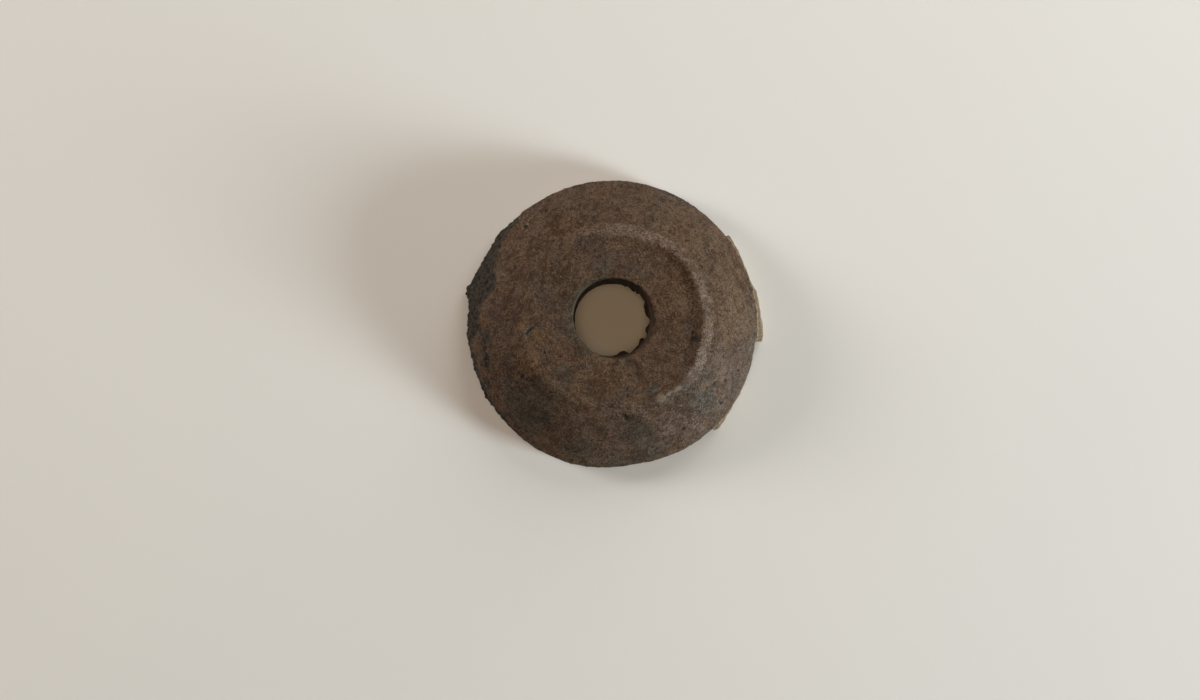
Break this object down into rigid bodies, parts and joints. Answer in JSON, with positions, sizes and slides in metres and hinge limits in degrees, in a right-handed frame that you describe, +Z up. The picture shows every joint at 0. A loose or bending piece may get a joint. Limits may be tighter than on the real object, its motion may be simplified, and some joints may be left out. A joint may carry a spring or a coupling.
{
  "type": "spindle whorl",
  "caption": "Low dome-shaped bone spindle whorl with a flat top face, a worn raised ring, a tapered hole for the spindle and a broken rim.",
  "frame": {"origin": "on the flat underside, below the middle of the outline's box", "axes": "+Z up through the spindle hole, from the broad underside to the narrower top face; +X towards the longest remnant of the old rim"},
  "size_m": [0.0436, 0.0418, 0.0096],
  "materials": {
    "bone": "satin"
  },
  "bodies": {
    "root": {"whorl": "bone"}
  },
  "joints": []
}
